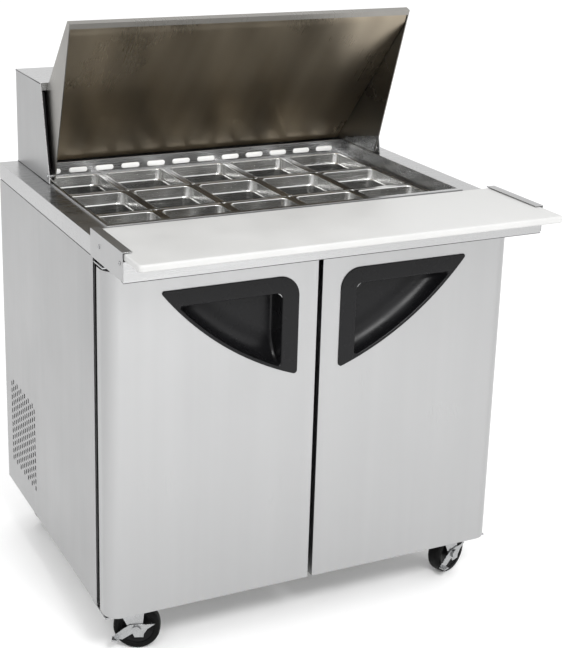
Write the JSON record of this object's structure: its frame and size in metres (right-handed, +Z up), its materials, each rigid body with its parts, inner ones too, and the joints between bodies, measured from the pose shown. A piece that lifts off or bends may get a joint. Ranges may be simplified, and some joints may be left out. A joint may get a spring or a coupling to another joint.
{
  "type": "sandwich prep table",
  "caption": "Refrigerated stainless prep table on casters: side-hinged doors, drop-in pans under a tilting lid, rear hood and a full-width cutting board.",
  "frame": {"origin": "on the floor under the middle of the overall bounding box", "axes": "+X to the right seen from the front, +Y to the rear, +Z up"},
  "size_m": [0.932, 0.906, 1.284],
  "materials": {
    "stainless": "light brushed stainless steel",
    "panel_inside": "polished brushed stainless steel",
    "liner_sheet": "satin steel sheet",
    "pan_steel": "bright satin stainless steel",
    "black_trim": "black moulded plastic, matte",
    "gasket_rubber": "soft black vinyl gasket",
    "white_board": "matte white polyethylene",
    "liner_plastic": "white moulded liner plastic",
    "zinc_plate": "zinc plated steel",
    "wheel_tread": "black hard-rubber caster wheel",
    "coated_wire": "white plastic-coated wire",
    "coil_fin": "aluminium fin stack",
    "black_enamel": "black enamel"
  },
  "bodies": {
    "cabinet": {"base_pan": "liner_sheet", "board_brackets": "stainless", "board_shelf": "stainless", "bracket_screws": "zinc_plate", "breaker_frame": "black_trim", "cabinet_liner": "liner_sheet", "cable_gland": "black_trim", "caster_plates": "zinc_plate", "compressor": "black_enamel", "condenser_coil": "coil_fin", "counter_top": "stainless", "door_hinges": "zinc_plate", "evaporator_coil": "coil_fin", "hood_housing": "stainless", "hood_seals": "black_trim", "lid_pivots": "zinc_plate", "pan_bars": "pan_steel", "pans_rear_row": "pan_steel", "rear_panel": "liner_sheet", "shelf_posts": "black_trim", "side_panel_left": "stainless", "side_panel_right": "stainless", "thermostat_housing": "liner_plastic", "well_liner": "liner_sheet", "wire_shelves": "coated_wire"},
    "lid": {"lid_shell": "stainless", "lid_inner_panel": "panel_inside", "lid_hinge_plates": "zinc_plate"},
    "cutting_board": {"cutting_board": "white_board"},
    "door_left": {"door_skin_left": "stainless", "door_liner_left": "liner_plastic", "door_gasket_left": "gasket_rubber", "door_handle_left": "black_trim"},
    "door_right": {"door_skin_right": "stainless", "door_liner_right": "liner_plastic", "door_gasket_right": "gasket_rubber", "door_handle_right": "black_trim"},
    "caster_front_left": {"caster_fork_front_left": "zinc_plate"},
    "wheel_front_left": {"caster_wheel_front_left": "wheel_tread"},
    "brake_front_left": {"brake_lever_front_left": "zinc_plate"},
    "caster_front_right": {"caster_fork_front_right": "zinc_plate"},
    "wheel_front_right": {"caster_wheel_front_right": "wheel_tread"},
    "brake_front_right": {"brake_lever_front_right": "zinc_plate"},
    "caster_rear_left": {"caster_fork_rear_left": "zinc_plate"},
    "wheel_rear_left": {"caster_wheel_rear_left": "wheel_tread"},
    "caster_rear_right": {"caster_fork_rear_right": "zinc_plate"},
    "wheel_rear_right": {"caster_wheel_rear_right": "wheel_tread"},
    "condenser_fan": {"condenser_fan": "black_enamel"},
    "evaporator_fan": {"evaporator_fan": "liner_plastic"},
    "thermostat_knob": {"thermostat_knob": "black_trim"},
    "pan_front_1": {"pan_front_1": "pan_steel"},
    "pan_front_2": {"pan_front_2": "pan_steel"},
    "pan_front_3": {"pan_front_3": "pan_steel"},
    "pan_front_4": {"pan_front_4": "pan_steel"},
    "pan_front_5": {"pan_front_5": "pan_steel"},
    "pan_middle_1": {"pan_middle_1": "pan_steel"},
    "pan_middle_2": {"pan_middle_2": "pan_steel"},
    "pan_middle_3": {"pan_middle_3": "pan_steel"},
    "pan_middle_4": {"pan_middle_4": "pan_steel"},
    "pan_middle_5": {"pan_middle_5": "pan_steel"}
  },
  "joints": [
    {"name": "lid_hinge", "type": "hinge", "parent": "cabinet", "child": "lid", "pos_m": [0, 0.222, 0.93], "axis": [-1, 0, 0], "range_deg": [-71, 0]},
    {"name": "door_left_hinge", "type": "hinge", "parent": "cabinet", "child": "door_left", "pos_m": [-0.448, -0.24, 0.49], "axis": [0, 0, -1], "range_deg": [0, 110], "stiffness_Nm_per_rad": 1.2},
    {"name": "door_right_hinge", "type": "hinge", "parent": "cabinet", "child": "door_right", "pos_m": [0.448, -0.24, 0.49], "axis": [0, 0, 1], "range_deg": [0, 110], "stiffness_Nm_per_rad": 1.2},
    {"name": "board_slide", "type": "slide", "parent": "cabinet", "child": "cutting_board", "axis": [0, -1, 0], "range_m": [0, 0.24]},
    {"name": "swivel_front_left", "type": "hinge", "parent": "cabinet", "child": "caster_front_left", "pos_m": [-0.39, -0.197, 0.105], "axis": [0, 0, 1], "continuous": true},
    {"name": "wheel_spin_front_left", "type": "hinge", "parent": "caster_front_left", "child": "wheel_front_left", "pos_m": [-0.37187, -0.20545, 0.05], "axis": [0.4226, 0.9063, 0], "continuous": true},
    {"name": "brake_front_left", "type": "hinge", "parent": "caster_front_left", "child": "brake_front_left", "pos_m": [-0.37187, -0.20545, 0.05], "axis": [-0.4226, -0.9063, 0], "range_deg": [0, 18]},
    {"name": "swivel_front_right", "type": "hinge", "parent": "cabinet", "child": "caster_front_right", "pos_m": [0.39, -0.197, 0.105], "axis": [0, 0, 1], "continuous": true},
    {"name": "wheel_spin_front_right", "type": "hinge", "parent": "caster_front_right", "child": "wheel_front_right", "pos_m": [0.40879, -0.19016, 0.05], "axis": [-0.342, 0.9397, 0], "continuous": true},
    {"name": "brake_front_right", "type": "hinge", "parent": "caster_front_right", "child": "brake_front_right", "pos_m": [0.40879, -0.19016, 0.05], "axis": [0.342, -0.9397, 0], "range_deg": [0, 18]},
    {"name": "swivel_rear_left", "type": "hinge", "parent": "cabinet", "child": "caster_rear_left", "pos_m": [-0.39, 0.385, 0.105], "axis": [0, 0, 1], "continuous": true},
    {"name": "wheel_spin_rear_left", "type": "hinge", "parent": "caster_rear_left", "child": "wheel_rear_left", "pos_m": [-0.37044, 0.38916, 0.05], "axis": [-0.2079, 0.9781, 0], "continuous": true},
    {"name": "swivel_rear_right", "type": "hinge", "parent": "cabinet", "child": "caster_rear_right", "pos_m": [0.39, 0.385, 0.105], "axis": [0, 0, 1], "continuous": true},
    {"name": "wheel_spin_rear_right", "type": "hinge", "parent": "caster_rear_right", "child": "wheel_rear_right", "pos_m": [0.40941, 0.38016, 0.05], "axis": [0.2419, 0.9703, 0], "continuous": true},
    {"name": "condenser_fan_spin", "type": "hinge", "parent": "cabinet", "child": "condenser_fan", "pos_m": [-0.385, 0.322, 0.275], "axis": [1, 0, 0], "continuous": true},
    {"name": "evaporator_fan_spin", "type": "hinge", "parent": "cabinet", "child": "evaporator_fan", "pos_m": [0.19, 0.353, 0.585], "axis": [0, 1, 0], "continuous": true},
    {"name": "thermostat_turn", "type": "hinge", "parent": "cabinet", "child": "thermostat_knob", "pos_m": [0.345, 0.363, 0.6], "axis": [0, -1, 0], "range_deg": [0, 300]},
    {"name": "pan_front_1_lift", "type": "slide", "parent": "cabinet", "child": "pan_front_1", "axis": [0, 0, 1], "range_m": [0, 0.15]},
    {"name": "pan_front_2_lift", "type": "slide", "parent": "cabinet", "child": "pan_front_2", "axis": [0, 0, 1], "range_m": [0, 0.15]},
    {"name": "pan_front_3_lift", "type": "slide", "parent": "cabinet", "child": "pan_front_3", "axis": [0, 0, 1], "range_m": [0, 0.15]},
    {"name": "pan_front_4_lift", "type": "slide", "parent": "cabinet", "child": "pan_front_4", "axis": [0, 0, 1], "range_m": [0, 0.15]},
    {"name": "pan_front_5_lift", "type": "slide", "parent": "cabinet", "child": "pan_front_5", "axis": [0, 0, 1], "range_m": [0, 0.15]},
    {"name": "pan_middle_1_lift", "type": "slide", "parent": "cabinet", "child": "pan_middle_1", "axis": [0, 0, 1], "range_m": [0, 0.15]},
    {"name": "pan_middle_2_lift", "type": "slide", "parent": "cabinet", "child": "pan_middle_2", "axis": [0, 0, 1], "range_m": [0, 0.15]},
    {"name": "pan_middle_3_lift", "type": "slide", "parent": "cabinet", "child": "pan_middle_3", "axis": [0, 0, 1], "range_m": [0, 0.15]},
    {"name": "pan_middle_4_lift", "type": "slide", "parent": "cabinet", "child": "pan_middle_4", "axis": [0, 0, 1], "range_m": [0, 0.15]},
    {"name": "pan_middle_5_lift", "type": "slide", "parent": "cabinet", "child": "pan_middle_5", "axis": [0, 0, 1], "range_m": [0, 0.15]}
  ]
}
